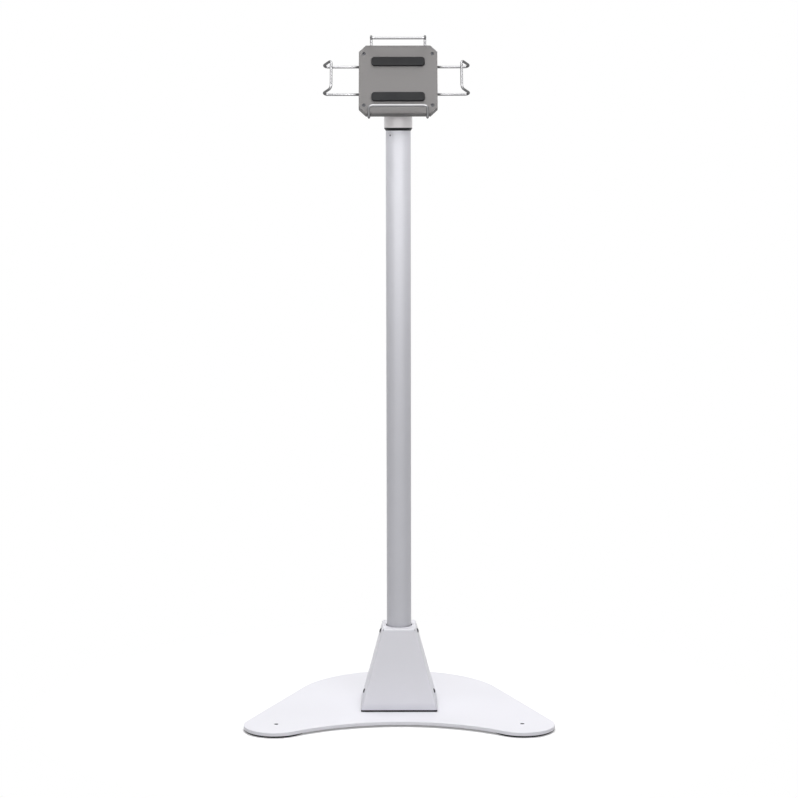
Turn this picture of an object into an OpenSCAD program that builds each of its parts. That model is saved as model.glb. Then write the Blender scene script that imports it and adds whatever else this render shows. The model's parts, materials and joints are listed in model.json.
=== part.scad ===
// Adjustable floor stand for a tablet computer. Millimetres, +Z up, the user stands at -Y.
// The origin is on the floor under the middle of the base plate's box.

/* [Base plate] */
// Distance between the two floor bolt holes in the front tips
tip_spacing = 392; // [370:1:420]
// Radius of the rounded front tips
tip_r = 52; // [46:1:58]
// Reach of the floor bolt holes ahead of the pole axis
tip_ahead = 126; // [110:1:140]
// Radius of the hollow front edge
front_curve_r = 275; // [255:1:320]
// Radius of the round rear edge
rear_curve_r = 174; // [165:1:185]
// Reach of the rear edge behind the pole axis
rear_reach = 219; // [208:1:230]
// Thickness of the steel plate
plate_t = 6; // [5:0.5:10]
// Diameter of the floor bolt holes
floor_hole_d = 7; // [5:0.5:10]

/* [Feet] */
// Height of the rubber feet
foot_h = 3; // [2:0.5:6]
// Distance of the front pads' edge inside the edge of the tips
tip_pad_inset = 3; // [2:0.5:6]
// Diameter of the front pads' hole around the floor bolt
tip_pad_hole_d = 14; // [12:0.5:20]
// Diameter of the rear feet
rear_foot_d = 26; // [20:1:30]
// Angle of the rear feet either side of straight back
rear_foot_angle = 40; // [30:1:50]
// Distance from the plate's edge to the rear feet
rear_foot_inset = 22; // [18:1:30]

/* [Pole] */
// Outside diameter of the pole
pole_d = 40; // [38:0.5:42]
// Wall of the pole tube
pole_wall = 2; // [1.5:0.5:3]
// Length of the pole tube
pole_len = 938; // [700:1:1200]
// Width of the square flange at the pole's foot
flange_w = 90; // [86:1:94]
// Thickness of the flange
flange_t = 6; // [5:0.5:8]
// Corner radius of the flange
flange_corner_r = 9; // [6:0.5:11]
// Side of the square that the flange bolts stand on
flange_bolt_gap = 68; // [66:0.5:70]
// Thread diameter of the flange bolts
flange_bolt_d = 8; // [6:1:8]
// Leg of the weld between flange and pole
weld_leg = 4; // [2:0.5:5]

/* [Shroud] */
// Height of the sheet metal shroud
shroud_h = 129.5; // [120:0.5:145]
// Width of the shroud at its lower edge
shroud_foot_w = 124; // [118:1:132]
// Depth of the shroud at its lower edge
shroud_foot_depth = 110; // [106:1:120]
// Width of the shroud at its top
shroud_top_w = 54.5; // [53.5:0.5:62]
// Depth of the shroud at its top
shroud_top_depth = 73; // [66:1:80]
// Sheet thickness of the shroud
shroud_wall = 1.5; // [1:0.25:2]
// Outside radius of the folded corners
shroud_corner_r = 3; // [2:0.5:8]
// Gap around the pole in the shroud's top
shroud_pole_gap = 1.5; // [1:0.25:2]
// Diameter of the small relief holes at the front folds
fold_relief_d = 2.4; // [1.5:0.1:3]
// Distance of the joint between front and rear cover ahead of the pole axis
seam_ahead = 9; // [8:0.5:12]
// Thickness of the rubber seal under the shroud
seal_t = 3; // [1.5:0.1:4]
// Width of the rubber seal
seal_w = 5; // [3:0.5:6]
// Height of the lower side screws above the shroud's lower edge
low_screw_up = 18; // [15:1:30]
// Distance of the upper side screws below the shroud's top
high_screw_down = 10; // [9:0.5:14]
// Thread diameter of the side screws
side_screw_d = 4; // [3:0.5:4]

/* [Swivel] */
// Thickness of the visible swivel ring
ring_t = 4.4; // [4:0.2:6]
// Height of the bevel on the ring's lower edge
ring_bevel = 3.6; // [2:0.1:3.8]
// Outside diameter of the head collar
collar_d = 45; // [44:0.5:50]
// Height of the head collar
collar_h = 22; // [20:0.5:26]
// Bevel on the collar's top edge
collar_bevel = 1.5; // [0.5:0.25:3]
// Diameter of the spigot that turns in the pole
spigot_d = 30; // [26:0.5:31]
// Length of the bushing's sleeve inside the pole
sleeve_len = 26; // [20:1:40]
// Thread diameter of the set screw that holds the bushing
bushing_screw_d = 3; // [3:0.5:5]
// Distance of the bushing's set screw below the pole's top
bushing_screw_down = 7.5; // [6:0.5:16]
// Angle of the bushing's set screw from straight ahead, to the left
bushing_screw_turn = 40; // [0:1:180]
// Thickness of the retaining washer
retainer_t = 3; // [2:0.5:5]
// Thread diameter of the central head screw
head_screw_d = 8; // [6:1:10]
// Depth of the head screw's thread in the tilt post
head_screw_bite = 16; // [12:1:18]
// Diameter of the dowel that keys the tilt post to the collar
dowel_d = 5; // [3:0.5:6]
// Length of the dowel
dowel_len = 9; // [7:0.5:11]

/* [Tilt] */
// Lean of the holder from upright
tilt_angle = 23; // [10:1:60]
// Height of the tilt axis above the collar
tilt_axis_up = 36; // [36:0.5:44]
// Thickness of the tilt post
post_t = 20; // [19:0.5:22]
// Radius of the tilt knuckle
knuckle_r = 12; // [10.5:0.5:12.5]
// Height of the round foot of the tilt post
post_foot_h = 5; // [4:0.5:7]
// Thickness of each ear of the tilt bracket
ear_t = 6; // [5:0.5:8]
// Thickness of the friction washers beside the knuckle
friction_t = 1; // [0.5:0.1:2]
// Thread diameter of the tilt bolt
tilt_bolt_d = 8; // [6:1:10]
// Diameter of the tilt bracket's round flange
turn_flange_d = 52; // [44:1:54]
// Thickness of the tilt bracket's round flange
turn_flange_t = 5; // [4:0.5:6]
// Thickness of the friction disc that the holder turns on
turn_disc_t = 2; // [1:0.5:3]
// Thread diameter of the bolt that the holder turns on
turn_bolt_d = 10; // [8:1:10]

/* [Holder] */
// Width of the holder's housing
body_w = 124; // [122:0.5:130]
// Height of the holder's housing
body_h = 116; // [114:0.5:122]
// Corner cut of the housing
body_cut = 11; // [9:0.5:12]
// Wall of the rear shell
shell_wall = 2; // [1.5:0.25:2.5]
// Bevel around the rear of the shell
shell_bevel = 3; // [1:0.5:4]
// Thickness of the front cover
cover_t = 2; // [1.5:0.25:3]
// Thread diameter of the cover screws
cover_screw_d = 3; // [2.5:0.5:3]
// Inset of the cover screws from the housing's sides
cover_screw_side = 8; // [7.8:0.1:8.4]
// Inset of the cover screws from the housing's top and bottom
cover_screw_end = 14; // [13:0.5:16]
// Thickness of the rubber rest pads
pad_t = 3; // [1.5:0.5:5]
// Length of the rest pads
pad_len = 84; // [60:1:90]
// Height of each rest pad
pad_w = 15; // [10:1:20]
// Distance of the rest pads above and below the housing's middle
pad_out = 30; // [24:1:34]

/* [Arms] */
// Diameter of the bright wire
wire_d = 4; // [3.5:0.1:4.2]
// Height of the left and right arms above the housing's middle
side_arm_up = 2; // [0:0.5:4]
// Distance between the legs of the left and right arms
side_leg_gap = 47; // [40:1:52]
// Distance of the top arm's legs from the housing's sides
top_leg_inset = 19.5; // [19:0.5:22]
// Distance of the bottom arm's legs from the housing's sides
bottom_leg_inset = 16; // [15.75:0.25:18]
// Reach of the left arm beyond the housing
left_out = 54.5; // [32:0.5:68]
// Reach of the right arm beyond the housing
right_out = 49; // [32:0.5:68]
// Reach of the top arm beyond the housing
top_out = 14.8; // [6.4:0.1:40]
// Reach of the bottom arm beyond the housing
bottom_out = 6.5; // [6.4:0.1:40]
// Bend radius of the hooks
hook_r = 6; // [5:0.25:6]
// Inward lean of the hooks' lips
lip_lean = 33; // [25:1:42]
// Bend radius at the corners of the lips
lip_corner_r = 6; // [4:0.5:8]
// Distance from the legs forwards to the lip
lip_ahead = 25.4; // [22:0.2:32]
// Length of the left and right arms' legs
side_leg_len = 70; // [66:0.5:72]
// Length of the top and bottom arms' legs
upright_leg_len = 44; // [40:0.5:46]
// Width of the bar that joins an arm's legs
bar_w = 8; // [6:0.5:9]
// Gap between the two layers of wire inside the housing
layer_gap = 0.8; // [0.6:0.1:1.2]
// Wall of the nylon guides around the legs
guide_wall = 1.15; // [0.8:0.05:1.25]
// Length of the guides in the top and bottom walls
upright_guide_len = 8; // [5:0.5:8.5]
// Length of the guides in the side walls
side_guide_len = 6; // [4:0.5:6]
// Thread diameter of the arm lock screws
lock_screw_d = 4; // [3:0.5:4]
// Inset of the upright legs' lock screws from the housing's top and bottom
upright_lock_in = 14; // [13:0.5:16]
// Inset of the side legs' lock screws from the housing's sides
side_lock_in = 9.6; // [9.2:0.1:10]

/* [Clearances] */
// Radial clearance of a shaft that turns or slides
run_gap = 0.05; // [0.03:0.01:0.1]
// Radial clearance of a piece that is pressed or screwed in
seat_gap = 0.02; // [0.01:0.01:0.05]
// Radial clearance of a bolt in a plain hole
bolt_gap = 0.25; // [0.15:0.05:0.4]
// Gap left where two moving pieces only pass
pass_gap = 0.3; // [0.25:0.05:0.5]

/* [Hidden] */
$fn = 96;
HULL_FN = 32;
THIN = 0.01;
OVER = 1;
// How far curves that touch are let into one another so that they join
MEET = 0.02;
// Bead over each joint of two lengths of wire, and the space that it bridges
BEAD = 0.05;
BEAD_GAP = 0.1;

// Base plate, measured from the pole axis
pole_y = (tip_ahead + tip_r - rear_reach) / 2;
plate_top = foot_h + plate_t;
tip_x = tip_spacing / 2;
front_curve_y = -tip_ahead - sqrt(pow(front_curve_r + tip_r, 2) - pow(tip_x, 2));
rear_curve_y = rear_reach - rear_curve_r;
tip_from_rear = [tip_x, -tip_ahead - rear_curve_y];
side_line_turn = acos((rear_curve_r - tip_r) / norm(tip_from_rear));
side_line_angle = atan2(tip_from_rear[1], tip_from_rear[0]) + side_line_turn;
side_normal = [cos(side_line_angle), sin(side_line_angle)];
front_share = front_curve_r / (front_curve_r + tip_r);
front_touch = [tip_x * front_share, front_curve_y + (-tip_ahead - front_curve_y) * front_share];
rear_foot_r = rear_curve_r - rear_foot_inset;

// Flange bolts
flange_head_h = 0.65 * flange_bolt_d;
flange_head_r = 0.92 * flange_bolt_d;
flange_washer_r = flange_bolt_d;
flange_washer_t = 0.2 * flange_bolt_d;

// Shroud, measured from its lower edge
shroud_z = plate_top + seal_t;
side_lean = atan((shroud_foot_w - shroud_top_w) / 2 / shroud_h);
sheet_depth = shroud_wall * cos(side_lean);
side_head_r = 0.95 * side_screw_d;
side_head_h = 0.55 * side_screw_d;
side_nut_h = 0.85 * side_screw_d;
side_nut_r = 1.05 * side_screw_d;
side_screw_len = 2 * sheet_depth + side_nut_h;
clip_r = 1.7 * side_screw_d;
function shroud_w(z) = shroud_foot_w + (shroud_top_w - shroud_foot_w) * z / shroud_h;
function shroud_depth(z) = shroud_foot_depth + (shroud_top_depth - shroud_foot_depth) * z / shroud_h;

// Swivel
pole_top = plate_top + pole_len;
collar_z = pole_top + ring_t;
collar_top = collar_z + collar_h;
sleeve_r = pole_d / 2 - pole_wall - seat_gap;
sleeve_end = pole_top - sleeve_len;
spigot_end = sleeve_end - pass_gap;
retainer_r = pole_d / 2 - pole_wall - 2 * pass_gap;
head_screw_head_r = 0.8 * head_screw_d;
head_screw_head_h = head_screw_d;
dowel_back = 0.35 * collar_d;
bushing_screw_tip = (sleeve_r + spigot_d / 2) / 2;

// Tilt, measured from the tilt axis: the holder stands at -Y and leans with the bracket
pivot_z = collar_top + tilt_axis_up;
post_foot_r = collar_d / 2 - collar_bevel;
ear_in = post_t / 2 + friction_t;
ear_out = ear_in + ear_t;
friction_r = knuckle_r - 1;
tilt_head_r = 0.9 * tilt_bolt_d;
tilt_head_h = 0.65 * tilt_bolt_d;
tilt_washer_t = 0.2 * tilt_bolt_d;
tilt_washer_r = tilt_bolt_d;
turn_head_h = 0.55 * turn_bolt_d;
turn_head_r = 0.8 * turn_bolt_d;
turn_nut_h = 0.65 * turn_bolt_d;
turn_nut_r = 0.95 * turn_bolt_d;
turn_washer_t = 0.15 * turn_bolt_d;
turn_washer_r = turn_bolt_d;
turn_tail = 0.15 * turn_bolt_d;
turn_stack = turn_washer_t + turn_nut_h + turn_tail;
knuckle_gap = 1.5;
flange_back_y = -(knuckle_r + knuckle_gap + turn_stack);
flange_front_y = flange_back_y - turn_flange_t;
shell_back_y = flange_front_y - turn_disc_t;
ear_foot_r = 0.62 * turn_flange_d / 2;

// Housing and arms: the side legs run behind the top and bottom legs
wire_r = wire_d / 2;
guide_r = wire_r + run_gap + guide_wall;
side_leg_y = shell_back_y - shell_wall - pass_gap - guide_r;
upright_leg_y = side_leg_y - wire_d - layer_gap;
shell_front_y = upright_leg_y - guide_r - pass_gap;
shell_depth = shell_back_y - shell_front_y;
cover_front_y = shell_front_y - cover_t;
top_leg_gap = body_w - 2 * top_leg_inset;
bottom_leg_gap = body_w - 2 * bottom_leg_inset;
bead_r = wire_r + BEAD;
bar_over = wire_r + 0.4;
lock_boss_r = lock_screw_d / 2 + 1.2;
upright_lock_tip = upright_leg_y + wire_r + pass_gap;
side_lock_tip = side_leg_y + wire_r + pass_gap;
cover_boss_r = cover_screw_d / 2 + 2.5;
cover_head_r = cover_screw_d;
cover_head_h = cover_screw_d / 2;
cover_screw_x = body_w / 2 - cover_screw_side;
cover_screw_z = body_h / 2 - cover_screw_end;

WHITE_PAINT = [0.93, 0.93, 0.95];
SILVER_PAINT = [0.78, 0.78, 0.80];
BRIGHT_STEEL = [0.72, 0.72, 0.72];
DARK_STEEL = [0.18, 0.18, 0.19];
BLACK_NYLON = [0.06, 0.06, 0.07];
BLACK_RUBBER = [0.08, 0.08, 0.08];
GREY_SHELL = [0.42, 0.41, 0.42];

// Frames

module at_pole(z) {
    translate([0, pole_y, z]) children();
}

module at_tilt() {
    at_pole(pivot_z) rotate([-tilt_angle, 0, 0]) children();
}

// An arm's frame: +Z points out of the housing along its legs
module at_arm(turn) {
    at_tilt() translate([0, 0, side_arm_up * abs(sin(turn))]) rotate([0, turn, 0]) children();
}

// The line of the bushing's set screw, out along +Y
module at_bushing_screw() {
    at_pole(pole_top - bushing_screw_down) rotate(180 - bushing_screw_turn) children();
}

module both_sides() {
    for (side = [0, 1]) mirror([side, 0, 0]) children();
}

// Stands its children on the side faces of the shroud, +Z pointing outwards
module at_side_screws() {
    at_pole(shroud_z) both_sides()
        for (z = [low_screw_up, shroud_h - high_screw_down])
            translate([shroud_w(z) / 2, 0, z]) rotate([0, 90 - side_lean, 0]) children();
}

module at_flange_bolts(z) {
    at_pole(z)
        for (x = [-1, 1], y = [-1, 1])
            translate([x, y] * flange_bolt_gap / 2) children();
}

// Points along the housing's rear or front, +Z pointing to the rear
module at_cover_screws() {
    at_tilt()
        for (x = [-1, 1], z = [-1, 1])
            translate([x * cover_screw_x, cover_front_y, z * cover_screw_z])
                rotate([-90, 0, 0]) children();
}

// Shared shapes

module rounded_square(w, depth, r) {
    square([w - 2 * r, depth], center = true);
    square([w, depth - 2 * r], center = true);
    for (x = [-1, 1], y = [-1, 1])
        translate([x * (w / 2 - r), y * (depth / 2 - r)]) circle(r);
}

module cut_corner_square(w, h, cut) {
    x = w / 2;
    y = h / 2;
    polygon([
        [cut - x, -y], [x - cut, -y], [x, cut - y], [x, y - cut],
        [x - cut, y], [cut - x, y], [-x, y - cut], [-x, cut - y]
    ]);
}

// A prism standing along Y, from y_low to y_high, of an outline in X and Z
module prism_y(y_low, y_high) {
    translate([0, y_high, 0]) rotate([90, 0, 0]) linear_extrude(y_high - y_low) children();
}

module rod_x(x_low, x_high, r) {
    translate([x_low, 0, 0]) rotate([0, 90, 0]) cylinder(r = r, h = x_high - x_low);
}

module rod_y(y_low, y_high, r) {
    translate([0, y_high, 0]) rotate([90, 0, 0]) cylinder(r = r, h = y_high - y_low);
}

module washer(r_out, r_in, t) {
    difference() {
        cylinder(r = r_out, h = t);
        translate([0, 0, -OVER]) cylinder(r = r_in, h = t + 2 * OVER);
    }
}

// Base

module plate_block() {
    side_rear = [0, rear_curve_y] + (rear_curve_r - MEET) * side_normal;
    side_front = [tip_x, -tip_ahead] + (tip_r - MEET) * side_normal;
    right = [side_rear, side_front, [tip_x, -tip_ahead], front_touch];
    left = [for (i = [len(right) - 1 : -1 : 0]) [-right[i][0], right[i][1]]];
    difference() {
        union() {
            linear_extrude(plate_t) polygon(concat(right, left));
            translate([0, rear_curve_y]) cylinder(r = rear_curve_r, h = plate_t);
            for (x = [-1, 1]) translate([x * tip_x, -tip_ahead]) cylinder(r = tip_r, h = plate_t);
        }
        translate([0, front_curve_y, -OVER])
            cylinder(r = front_curve_r + MEET, h = plate_t + 2 * OVER);
    }
}

module base_plate() {
    color(WHITE_PAINT) difference() {
        at_pole(foot_h) plate_block();
        at_pole(foot_h - OVER)
            for (x = [-1, 1])
                translate([x * tip_x, -tip_ahead]) cylinder(d = floor_hole_d, h = plate_t + 2 * OVER);
        at_flange_bolts(foot_h - OVER)
            cylinder(r = flange_bolt_d / 2 + seat_gap, h = plate_t + 2 * OVER);
    }
}

module base_feet() {
    color(BLACK_RUBBER) at_pole(0) {
        for (x = [-1, 1])
            translate([x * tip_x, -tip_ahead])
                washer(tip_r - tip_pad_inset, tip_pad_hole_d / 2, foot_h);
        for (turn = [-1, 0, 1] * rear_foot_angle)
            translate([0, rear_curve_y]) rotate(turn)
                translate([0, rear_foot_r]) cylinder(d = rear_foot_d, h = foot_h);
    }
}

module pole_flange() {
    bore_r = pole_d / 2 + seat_gap;
    color(DARK_STEEL) difference() {
        union() {
            at_pole(plate_top) linear_extrude(flange_t)
                rounded_square(flange_w, flange_w, flange_corner_r);
            at_pole(plate_top + flange_t)
                cylinder(r1 = bore_r + weld_leg, r2 = bore_r + 0.3, h = weld_leg);
        }
        at_pole(plate_top - OVER) cylinder(r = bore_r, h = flange_t + weld_leg + 2 * OVER);
        at_flange_bolts(plate_top - OVER)
            cylinder(r = flange_bolt_d / 2 + bolt_gap, h = flange_t + 2 * OVER);
    }
}

module flange_washers() {
    color(BRIGHT_STEEL) at_flange_bolts(plate_top + flange_t)
        washer(flange_washer_r, flange_bolt_d / 2 + bolt_gap, flange_washer_t);
}

module flange_bolts() {
    stack = flange_t + flange_washer_t;
    color(BRIGHT_STEEL) at_flange_bolts(plate_top + stack) {
        translate([0, 0, -stack - plate_t]) cylinder(d = flange_bolt_d, h = stack + plate_t);
        cylinder(r = flange_head_r, h = flange_head_h, $fn = 6);
    }
}

module pole_tube() {
    color(SILVER_PAINT) difference() {
        at_pole(plate_top) cylinder(d = pole_d, h = pole_len);
        at_pole(plate_top - OVER) cylinder(r = pole_d / 2 - pole_wall, h = pole_len + 2 * OVER);
        at_bushing_screw()
            rod_y(bushing_screw_tip, pole_d / 2 + OVER, bushing_screw_d / 2 + seat_gap);
    }
}

// Shroud

module shroud_block(inset, z_low, z_high) {
    r = max(shroud_corner_r - inset, 0.5);
    hull()
        for (z = [z_low, z_high - THIN], x = [-1, 1], y = [-1, 1]) {
            corner_x = shroud_w(z) / 2 - inset - r;
            corner_y = shroud_depth(z) / 2 - inset - r;
            translate([x * corner_x, y * corner_y, z]) cylinder(r = r, h = THIN, $fn = HULL_FN);
        }
}

// All the space ahead of the joint between the covers, or behind it
module beside_seam(from_y) {
    translate([-shroud_foot_w, from_y, -2 * OVER])
        cube([2 * shroud_foot_w, shroud_foot_depth, shroud_h + 4 * OVER]);
}

// One cover: the part of the shroud that lies outside the space it is given to avoid
module shroud_cover() {
    at_pole(shroud_z) difference() {
        shroud_block(0, 0, shroud_h);
        shroud_block(shroud_wall, -OVER, shroud_h - shroud_wall);
        translate([0, 0, shroud_h / 2])
            cylinder(r = pole_d / 2 + shroud_pole_gap, h = shroud_h);
        children();
    }
}

module shroud_front() {
    fold = (shroud_corner_r - shroud_wall / 2) * sqrt(0.5);
    relief_x = shroud_top_w / 2 - shroud_corner_r + fold;
    relief_y = shroud_top_depth / 2 - shroud_corner_r + fold;
    color(WHITE_PAINT) difference() {
        shroud_cover() beside_seam(-seam_ahead);
        at_pole(shroud_z + shroud_h - 2 * shroud_wall)
            for (x = [-1, 1])
                translate([x * relief_x, -relief_y]) cylinder(d = fold_relief_d, h = 3 * shroud_wall);
    }
}

module shroud_rear() {
    color(WHITE_PAINT) difference() {
        shroud_cover() beside_seam(-seam_ahead - shroud_foot_depth);
        at_side_screws() translate([0, 0, -sheet_depth - OVER])
            cylinder(r = side_screw_d / 2 + bolt_gap, h = sheet_depth + 2 * OVER);
    }
}

// Clips welded inside the front cover, which reach behind the joint and take the screws
module shroud_clips() {
    color(WHITE_PAINT) at_side_screws() difference() {
        translate([-clip_r, -seam_ahead - clip_r, -2 * sheet_depth])
            cube([2 * clip_r, seam_ahead + 2 * clip_r, sheet_depth]);
        translate([0, 0, -2 * sheet_depth - OVER])
            cylinder(r = side_screw_d / 2 + bolt_gap, h = sheet_depth + 2 * OVER);
    }
}

module shroud_nuts() {
    color(BRIGHT_STEEL) at_side_screws() translate([0, 0, -side_screw_len])
        washer(side_nut_r, side_screw_d / 2 + seat_gap, side_nut_h);
}

module shroud_screws() {
    color(DARK_STEEL) at_side_screws() {
        cylinder(r1 = side_head_r, r2 = 0.7 * side_head_r, h = side_head_h);
        translate([0, 0, -side_screw_len]) cylinder(d = side_screw_d, h = side_screw_len);
    }
}

module shroud_seal() {
    color(BLACK_RUBBER) at_pole(plate_top) linear_extrude(seal_t) difference() {
        rounded_square(shroud_foot_w, shroud_foot_depth, shroud_corner_r);
        square([shroud_foot_w - 2 * seal_w, shroud_foot_depth - 2 * seal_w], center = true);
    }
}

// Swivel

module swivel_bushing() {
    bore_r = spigot_d / 2 + run_gap;
    color(BLACK_NYLON) difference() {
        at_pole(0) rotate_extrude() polygon([
            [bore_r, sleeve_end],
            [sleeve_r, sleeve_end],
            [sleeve_r, pole_top],
            [pole_d / 2 + seat_gap, pole_top],
            [collar_d / 2, pole_top + ring_bevel],
            [collar_d / 2, collar_z],
            [bore_r, collar_z]
        ]);
        at_bushing_screw()
            rod_y(bushing_screw_tip, pole_d / 2, bushing_screw_d / 2 + seat_gap);
    }
}

module bushing_screw() {
    color(DARK_STEEL) at_bushing_screw() difference() {
        rod_y(bushing_screw_tip, pole_d / 2, bushing_screw_d / 2);
        rotate([-90, 0, 0]) translate([0, 0, pole_d / 2 - pole_wall])
            cylinder(r = 0.3 * bushing_screw_d, h = pole_wall + OVER, $fn = 6);
    }
}

module head_collar() {
    color(SILVER_PAINT) difference() {
        at_pole(0) rotate_extrude() polygon([
            [head_screw_d / 2 + bolt_gap, spigot_end],
            [spigot_d / 2, spigot_end],
            [spigot_d / 2, collar_z],
            [collar_d / 2, collar_z],
            [collar_d / 2, collar_top - collar_bevel],
            [collar_d / 2 - collar_bevel, collar_top],
            [head_screw_d / 2 + bolt_gap, collar_top]
        ]);
        at_pole(collar_top - dowel_len / 2) translate([0, dowel_back])
            cylinder(r = dowel_d / 2 + seat_gap, h = dowel_len);
    }
}

module swivel_retainer() {
    color(BRIGHT_STEEL) at_pole(spigot_end - retainer_t)
        washer(retainer_r, head_screw_d / 2 + bolt_gap, retainer_t);
}

module head_screw() {
    head_z = spigot_end - retainer_t;
    color(DARK_STEEL) at_pole(head_z) difference() {
        union() {
            cylinder(d = head_screw_d, h = collar_top + head_screw_bite - head_z);
            translate([0, 0, -head_screw_head_h]) cylinder(r = head_screw_head_r, h = head_screw_head_h);
        }
        translate([0, 0, -head_screw_head_h - OVER])
            cylinder(r = 0.42 * head_screw_d, h = head_screw_head_h / 2 + OVER, $fn = 6);
    }
}

module post_dowel() {
    color(BRIGHT_STEEL) at_pole(collar_top - dowel_len / 2) translate([0, dowel_back])
        cylinder(d = dowel_d, h = dowel_len);
}

// Tilt

module tilt_post() {
    bore_r = tilt_bolt_d / 2 + run_gap;
    web_foot = 0.75 * post_foot_r;
    color(SILVER_PAINT) difference() {
        union() {
            at_pole(collar_top) cylinder(r = post_foot_r, h = post_foot_h);
            at_pole(pivot_z) {
                rod_x(-post_t / 2, post_t / 2, knuckle_r);
                rotate([90, 0, 90]) translate([0, 0, -post_t / 2]) linear_extrude(post_t)
                    polygon([
                        [-web_foot, post_foot_h - tilt_axis_up],
                        [web_foot, post_foot_h - tilt_axis_up],
                        [knuckle_r, 0],
                        [-knuckle_r, 0]
                    ]);
            }
        }
        at_pole(pivot_z) rod_x(-post_t, post_t, bore_r);
        at_pole(collar_top - OVER)
            cylinder(r = head_screw_d / 2 + seat_gap, h = head_screw_bite + OVER);
        at_pole(collar_top - dowel_len / 2) translate([0, dowel_back])
            cylinder(r = dowel_d / 2 + seat_gap, h = dowel_len);
    }
}

module friction_washers() {
    color(BLACK_NYLON) at_tilt() both_sides() translate([post_t / 2, 0, 0]) rotate([0, 90, 0])
        washer(friction_r, tilt_bolt_d / 2 + bolt_gap, friction_t);
}

module tilt_bracket() {
    color(SILVER_PAINT) at_tilt() difference() {
        union() {
            rod_y(flange_front_y, flange_back_y, turn_flange_d / 2);
            both_sides() translate([ear_in, 0, 0]) {
                rod_x(0, ear_t, knuckle_r);
                rotate([90, 0, 90]) linear_extrude(ear_t) polygon([
                    [flange_back_y, -ear_foot_r],
                    [0, -knuckle_r],
                    [0, knuckle_r],
                    [flange_back_y, ear_foot_r]
                ]);
            }
        }
        rod_x(-ear_out - OVER, ear_out + OVER, tilt_bolt_d / 2 + seat_gap);
        rod_y(flange_front_y - OVER, flange_back_y + OVER, turn_bolt_d / 2 + run_gap);
    }
}

module tilt_washers() {
    color(BRIGHT_STEEL) at_tilt() both_sides() translate([ear_out, 0, 0]) rotate([0, 90, 0])
        washer(tilt_washer_r, tilt_bolt_d / 2 + seat_gap, tilt_washer_t);
}

module tilt_bolt() {
    grip = ear_out + tilt_washer_t;
    color(DARK_STEEL) at_tilt() difference() {
        union() {
            rod_x(-grip - 1.3 * tilt_head_h, grip, tilt_bolt_d / 2);
            rod_x(grip, grip + tilt_bolt_d, tilt_head_r);
        }
        translate([grip + tilt_bolt_d / 2, 0, 0]) rotate([0, 90, 0])
            cylinder(r = 0.42 * tilt_bolt_d, h = tilt_bolt_d, $fn = 6);
    }
}

module tilt_nut() {
    color(BRIGHT_STEEL) at_tilt()
        translate([-ear_out - tilt_washer_t - tilt_head_h, 0, 0]) rotate([0, 90, 0]) difference() {
            cylinder(r = tilt_head_r, h = tilt_head_h, $fn = 6);
            translate([0, 0, -OVER])
                cylinder(r = tilt_bolt_d / 2 + seat_gap, h = tilt_head_h + 2 * OVER);
        }
}

// Turntable between bracket and holder

module turn_disc() {
    color(BLACK_NYLON) at_tilt() difference() {
        rod_y(shell_back_y, flange_front_y, turn_flange_d / 2);
        rod_y(shell_back_y - OVER, flange_front_y + OVER, turn_bolt_d / 2 + pass_gap);
    }
}

module turn_bolt() {
    color(BRIGHT_STEEL) at_tilt() {
        rod_y(shell_back_y - shell_wall, flange_back_y + turn_stack, turn_bolt_d / 2);
        translate([0, shell_back_y - shell_wall, 0]) rotate([90, 0, 0])
            cylinder(r = turn_head_r, h = turn_head_h, $fn = 6);
    }
}

module turn_washer() {
    color(BRIGHT_STEEL) at_tilt() translate([0, flange_back_y, 0]) rotate([-90, 0, 0])
        washer(turn_washer_r, turn_bolt_d / 2 + seat_gap, turn_washer_t);
}

module turn_nut() {
    color(BRIGHT_STEEL) at_tilt()
        translate([0, flange_back_y + turn_washer_t, 0]) rotate([-90, 0, 0]) difference() {
            cylinder(r = turn_nut_r, h = turn_nut_h, $fn = 6);
            translate([0, 0, -OVER])
                cylinder(r = turn_bolt_d / 2 + seat_gap, h = turn_nut_h + 2 * OVER);
        }
}

// Holder

// Stands its children on each leg of an arm where the leg leaves the housing
module at_legs(gap, leg_y, wall_out) {
    both_sides() translate([gap / 2, leg_y, wall_out]) children();
}

// The four arms' legs, with the wall they pass and the length of their guides
module at_all_legs() {
    at_arm(0) at_legs(top_leg_gap, upright_leg_y, body_h / 2) children(0);
    at_arm(180) at_legs(bottom_leg_gap, upright_leg_y, body_h / 2) children(0);
    for (turn = [-90, 90])
        at_arm(turn) at_legs(side_leg_gap, side_leg_y, body_w / 2) children(1);
}

// One lock screw on each arm, pointing forwards at a leg
module at_lock_screws() {
    at_arm(0) translate([top_leg_gap / 2, 0, body_h / 2 - upright_lock_in]) children(0);
    at_arm(180) translate([bottom_leg_gap / 2, 0, body_h / 2 - upright_lock_in]) children(0);
    for (turn = [-90, 90])
        at_arm(turn) translate([side_leg_gap / 2, 0, body_w / 2 - side_lock_in]) children(1);
}

module shell_block() {
    hull() {
        prism_y(shell_front_y, shell_back_y - shell_bevel) cut_corner_square(body_w, body_h, body_cut);
        prism_y(shell_back_y - THIN, shell_back_y)
            cut_corner_square(body_w - 2 * shell_bevel, body_h - 2 * shell_bevel, body_cut);
    }
}

module shell_hollow() {
    inner_cut = body_cut - (2 - sqrt(2)) * shell_wall;
    inner_w = body_w - 2 * shell_wall;
    inner_h = body_h - 2 * shell_wall;
    hull() {
        prism_y(shell_front_y - OVER, shell_back_y - shell_bevel)
            cut_corner_square(inner_w, inner_h, inner_cut);
        prism_y(shell_back_y - shell_wall - THIN, shell_back_y - shell_wall)
            cut_corner_square(inner_w - 2 * shell_bevel, inner_h - 2 * shell_bevel, inner_cut);
    }
}

module lock_boss(tip_y) {
    rod_y(tip_y + pass_gap, shell_back_y - shell_wall / 2, lock_boss_r);
}

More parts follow.
